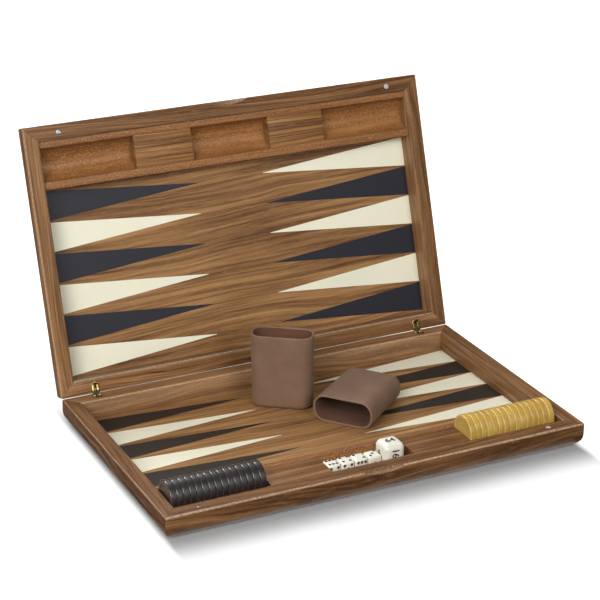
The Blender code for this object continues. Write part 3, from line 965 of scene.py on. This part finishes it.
# --- Loose pieces ----------------------------------------------------------------------------
def checker_mesh():
    """A checker turned about Z: a raised rim round a shallow dish on both faces."""
    half, r, b = (CHECKER_THICK - 0.00012) / 2, CHECKER_R, CHECKER_EDGE
    side = [(0.0, half - 0.00055), (0.0118, half - 0.00055), (0.0130, half - 0.00045),
            (0.0138, half - 0.0001), (0.0145, half)]
    side += [(r - b + b * math.sin(math.radians(a)), half - b + b * math.cos(math.radians(a)))
             for a in range(0, 91, 15)]
    profile = [(radius, -z) for radius, z in side] + [(radius, z) for radius, z in reversed(side)]
    return lathe(profile, 72)


def checker_wear(place):
    """1 along the two outer edges of a checker, 0 elsewhere; it places a painted highlight and a smoother
    finish.
    """
    if abs(place.z) < CHECKER_THICK / 2 - CHECKER_EDGE:
        return 0.0
    return 1.0 if math.hypot(place.x, place.y) > CHECKER_R - CHECKER_EDGE else 0.45


def add_checkers(colour, start_x, mats):
    to_x = Matrix.Rotation(math.radians(90), 4, "Y")
    z = GROOVE_Z - (GROOVE_R - CHECKER_R) + GAP
    draw = random.Random(hash_seed(colour, "checkers"))
    for i in range(STACK * STACKS):
        group = i // STACK + 1
        x = start_x + (i + 0.5) * CHECKER_THICK - 0.00015
        spin = Matrix.Rotation(draw.uniform(0, 2 * math.pi), 4, "X")
        lean = Matrix.Rotation(draw.uniform(-0.004, 0.004), 4, "Z")
        at = Matrix.Translation((x, GROOVE_Y + draw.uniform(-0.0001, 0.0001),
                                 z + draw.uniform(-0.00015, 0.0001)))
        piece = new_object(f"{colour}_checker_{i + 1:02d}", checker_mesh(), [mats[f"{colour}_resin"]])
        finished(piece, at @ lean @ spin @ to_x, f"{colour}_stack_{group}",
                 f"{colour}_checkers_{group}", hash_seed(colour, i), wear=checker_wear)


def rounded_cube(size, radius, segments):
    bm = bmesh.new()
    bmesh.ops.create_cube(bm, size=size)
    bmesh.ops.bevel(bm, geom=bm.edges[:], offset=radius, segments=segments, profile=0.5, affect="EDGES",
                    clamp_overlap=True)
    return bm


def seat_height(size, radius):
    reach = GROOVE_R - radius - GAP
    side = size / 2 - radius
    return GROOVE_Z - math.sqrt(reach ** 2 - side ** 2) + side


PIPS = {
    1: [(0, 0)],
    2: [(-1, 1), (1, -1)],
    3: [(-1, -1), (0, 0), (1, 1)],
    4: [(-1, -1), (-1, 1), (1, -1), (1, 1)],
    5: [(-1, -1), (-1, 1), (1, -1), (1, 1), (0, 0)],
    6: [(-1, -1), (0, -1), (1, -1), (-1, 1), (0, 1), (1, 1)],
}
FACES = {                 # each face's outward direction and its own horizontal
    "top": (Vector((0, 0, 1)), Vector((1, 0, 0))),
    "bottom": (Vector((0, 0, -1)), Vector((1, 0, 0))),
    "front": (Vector((0, -1, 0)), Vector((1, 0, 0))),
    "back": (Vector((0, 1, 0)), Vector((-1, 0, 0))),
    "left": (Vector((-1, 0, 0)), Vector((0, -1, 0))),
    "right": (Vector((1, 0, 0)), Vector((0, 1, 0))),
}
DICE = (                  # numbers on top, front and left; opposite faces add up to seven
    (6, 4, 5),
    (4, 5, 6),
    (2, 6, 3),
    (3, 1, 2),
)
PIP_R = 0.00170
PIP_SPREAD = 0.0041
NUMBER_UP = {"front": 0.0028}    # how far a number stands above the middle of its face
NUMBER_TALL = 0.0108      # size of the type
NUMBER_THICK = 0.00003
NUMBER_BOLD = 0.00024
NUMBER_PROUD = 0.00004


def face_matrix(face, distance):
    """Face coordinates: x right, y up, z out of the face."""
    out, right = FACES[face]
    up = out.cross(right)
    matrix = Matrix((right, up, out)).transposed().to_4x4()
    matrix.translation = out * distance
    return matrix


def pip_ball(place):
    bm = bmesh.new()
    bmesh.ops.create_uvsphere(bm, u_segments=20, v_segments=12, radius=PIP_R * 1.15)
    return turned(bm, place)


def add_dice(mats):
    for i, (top, front, left) in enumerate(DICE):
        node = f"die_{i + 1}"
        numbers = {"top": top, "bottom": 7 - top, "front": front, "back": 7 - front,
                   "left": left, "right": 7 - left}
        die = new_object(f"shown_{node}", rounded_cube(DIE, DIE_ROUND, 6),
                         [mats["ivory_resin"], mats["pip_ink"]])
        balls = []
        for face, number in numbers.items():
            base = face_matrix(face, DIE / 2)
            for a, b in PIPS[number]:
                at = base @ Matrix.Translation((a * PIP_SPREAD, b * PIP_SPREAD, PIP_R * 0.55))
                balls.append(pip_ball(at))
        carve(die, [joined(balls)])
        at = Matrix.Translation((DIE_FIRST_X + i * DIE_PITCH, GROOVE_Y,
                                 seat_height(DIE, DIE_ROUND)))
        finished(die, at, f"{node}_body", node)


def round_drop(x, y):
    """How far the doubling cube's surface lies under its face plane at (x, y)."""
    flat = CUBE / 2 - CUBE_ROUND
    reach = math.hypot(max(abs(x) - flat, 0.0), max(abs(y) - flat, 0.0))
    return CUBE_ROUND - math.sqrt(max(CUBE_ROUND ** 2 - reach ** 2, 0.0))


def add_doubling_cube(mats):
    at = Matrix.Translation((CUBE_X, GROOVE_Y, seat_height(CUBE, CUBE_ROUND)))
    cube = new_object("shown_doubling_cube", rounded_cube(CUBE, CUBE_ROUND, 8), [mats["ivory_resin"]])
    finished(cube, at, "doubling_cube_body", "doubling_cube", 5)
    faces = {"top": ("64", 0), "front": ("16", -90), "left": ("8", 0), "right": ("2", 90),
             "back": ("32", 0), "bottom": ("4", 180)}
    for face, (number, turn) in faces.items():
        curve = bpy.data.curves.new(f"cube_number_{number}", "FONT")
        curve.body = number
        curve.size = NUMBER_TALL
        curve.align_x = "CENTER"
        curve.align_y = "CENTER"
        curve.extrude = NUMBER_THICK
        curve.offset = NUMBER_BOLD
        text = linked(f"text_{number}", curve)
        mesh = evaluated_mesh(text)
        bpy.data.objects.remove(text)
        bm = bmesh.new()
        bm.from_mesh(mesh)
        bmesh.ops.triangulate(bm, faces=bm.faces[:])
        bmesh.ops.subdivide_edges(bm, edges=bm.edges[:], cuts=4, use_grid_fill=True)
        turned(bm, Matrix.Rotation(math.radians(turn), 4, "Z"))
        for vertex in bm.verts:
            vertex.co.y += NUMBER_UP.get(face, 0.0)
            vertex.co.z += NUMBER_PROUD - round_drop(vertex.co.x, vertex.co.y)
        number_piece = new_object(f"cube_number_{number}", bm, [mats["pip_ink"]])
        finished(number_piece, at @ face_matrix(face, CUBE / 2), "doubling_cube_body",
                 seed=hash_seed("number", number))


def oblong(long_side, thick_side, radius, z, steps=8, flat=6):
    """A ring of points round a rectangle with round corners, its long side along X."""
    x = long_side / 2 - radius
    y = thick_side / 2 - radius
    centres = [(x, -y), (x, y), (-x, y), (-x, -y)]
    points = []
    for i, centre in enumerate(centres):
        points += arc(centre, radius, 90 * i - 90, 90 * i, steps)
        start = Vector(points[-1])
        nearest = arc(centres[(i + 1) % 4], radius, 90 * i, 90 * i + 1, 1)[0]
        points += [tuple(start.lerp(Vector(nearest), k / flat)) for k in range(1, flat)]
    return [(px, py, z) for px, py in points]


def cup_meshes():
    """The outer shell with its rolled rim, and the lining."""
    def ring(z, inset):
        scale = CUP_TAPER + (1 - CUP_TAPER) * z / CUP_TALL
        long_side = CUP_LONG * scale - 2 * inset
        thick_side = CUP_THICK * scale - 2 * inset
        return oblong(long_side, thick_side, CUP_CORNER * scale - inset, z)

    outside = []
    for i in range(9):
        a = math.radians(90 * i / 8)
        outside.append(ring(CUP_FOOT_ROUND * (1 - math.cos(a)), CUP_FOOT_ROUND * (1 - math.sin(a))))
    for k in range(1, 16):
        outside.append(ring(CUP_FOOT_ROUND + (CUP_TALL - 0.0012 - CUP_FOOT_ROUND) * k / 15, 0.0))
    rim = CUP_WALL / 2
    top, bottom = CUP_TALL - rim - 0.0006, CUP_FLOOR + LINING_ROUND
    for i in range(1, 9):
        a = math.radians(180 * i / 8)
        outside.append(ring(CUP_TALL - rim + rim * math.sin(a), rim - rim * math.cos(a)))
    inside = [ring(top - (top - bottom) * k / 14, CUP_WALL) for k in range(15)]
    for i in range(1, 5):
        a = math.radians(90 * i / 4)
        inside.append(ring(CUP_FLOOR + LINING_ROUND * (1 - math.sin(a)),
                           CUP_WALL + LINING_ROUND * (1 - math.cos(a))))
    return outside, inside


def cup_object(name, mats):
    outside, inside = cup_meshes()
    bm = loft(outside + inside)
    bm.faces.ensure_lookup_table()
    lining_from = len(outside)
    count = len(outside[0])
    for index, face in enumerate(bm.faces):
        if index // count >= lining_from - 1 and index < count * (len(outside) + len(inside) - 1):
            face.material_index = 1
    bm.faces[-1].material_index = 1
    return new_object(name, bm, [mats["cup_leather"], mats["cup_lining"]], 50.0)


def add_cups(mats):
    foot = Vector((*STANDING_AT, FIELD_Z + GAP))
    place = Matrix.Translation(foot) @ Matrix.Rotation(math.radians(STANDING_TURN), 4, "Z")
    standing = cup_object("shown_dice_cup_standing", mats)
    finished(standing, place, "standing_dice_cup", "dice_cup_standing", 11)

    way = math.radians(LYING_TURN)
    along = Vector((math.cos(way), math.sin(way), 0.0))
    across = Vector((-math.sin(way), math.cos(way), 0.0))
    place = Matrix((
        (across.x, 0.0, -along.x, 0.0),
        (across.y, 0.0, -along.y, 0.0),
        (0.0, 1.0, 0.0, 0.0),
        (0.0, 0.0, 0.0, 1.0),
    ))
    centre = Vector((*LYING_MOUTH_AT, FIELD_Z + GAP + CUP_THICK / 2))
    place.translation = centre + along * CUP_TALL
    lying = cup_object("shown_dice_cup_lying", mats)
    finished(lying, place, "lying_dice_cup", "dice_cup_lying", 12)


# --- Stage -----------------------------------------------------------------------------------
def add_stage(mats):
    floor = new_object("floor", box((-6.0, -6.0, -0.02), (6.0, 6.0, -0.0002)), [mats["floor_paper_glow"]])
    floor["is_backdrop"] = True

    world = bpy.data.worlds.new("studio")
    bpy.context.scene.world = world
    world.use_nodes = True
    tree = world.node_tree
    room = tree.nodes["Background"]
    backdrop = tree.nodes.new("ShaderNodeBackground")
    for background, strength in ((room, ROOM_LIGHT), (backdrop, 1.0)):
        background.inputs["Color"].default_value = (1.0, 1.0, 1.0, 1.0)
        background.inputs["Strength"].default_value = strength
    seen = tree.nodes.new("ShaderNodeLightPath")
    mix = tree.nodes.new("ShaderNodeMixShader")
    tree.links.new(seen.outputs["Is Camera Ray"], mix.inputs[0])
    tree.links.new(room.outputs[0], mix.inputs[1])
    tree.links.new(backdrop.outputs[0], mix.inputs[2])
    tree.links.new(mix.outputs[0], tree.nodes["World Output"].inputs["Surface"])

    for name, at, size, power in SOFTBOXES:
        lamp = bpy.data.lights.new(name, "AREA")
        lamp.shape = "RECTANGLE"
        lamp.size, lamp.size_y = size
        lamp.energy = power
        obj = linked(name, lamp)
        obj.location = at
        aim = Vector((0.0, 0.0, 0.1)) - Vector(at)
        obj.rotation_euler = aim.to_track_quat("-Z", "Y").to_euler()


def add_camera():
    camera = bpy.data.cameras.new("camera")
    camera.sensor_width = 36.0
    camera.lens = CAMERA_LENS
    camera.clip_end = 50.0
    obj = linked("camera", camera)
    yaw, pitch = math.radians(CAMERA_YAW), math.radians(CAMERA_PITCH)
    forward = Vector((math.sin(yaw) * math.cos(pitch), math.cos(yaw) * math.cos(pitch),
                      -math.sin(pitch)))
    obj.location = CAMERA_AT
    obj.rotation_euler = forward.to_track_quat("-Z", "Y").to_euler()
    bpy.context.scene.camera = obj


def corners(bounds):
    return [[float(x) for x in corner] for corner in bounds]


def main():
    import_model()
    cad_box = corners(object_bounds())
    bpy.context.scene.view_settings.view_transform = "Standard"
    mats = make_materials()
    add_case(mats)
    add_checkers("dark", DARK_START, mats)
    add_checkers("amber", AMBER_START, mats)
    add_dice(mats)
    add_doubling_cube(mats)
    add_cups(mats)
    add_stage(mats)
    add_camera()
    bpy.context.view_layer.update()
    {"cad": cad_box, "visual": corners(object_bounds())}


main()
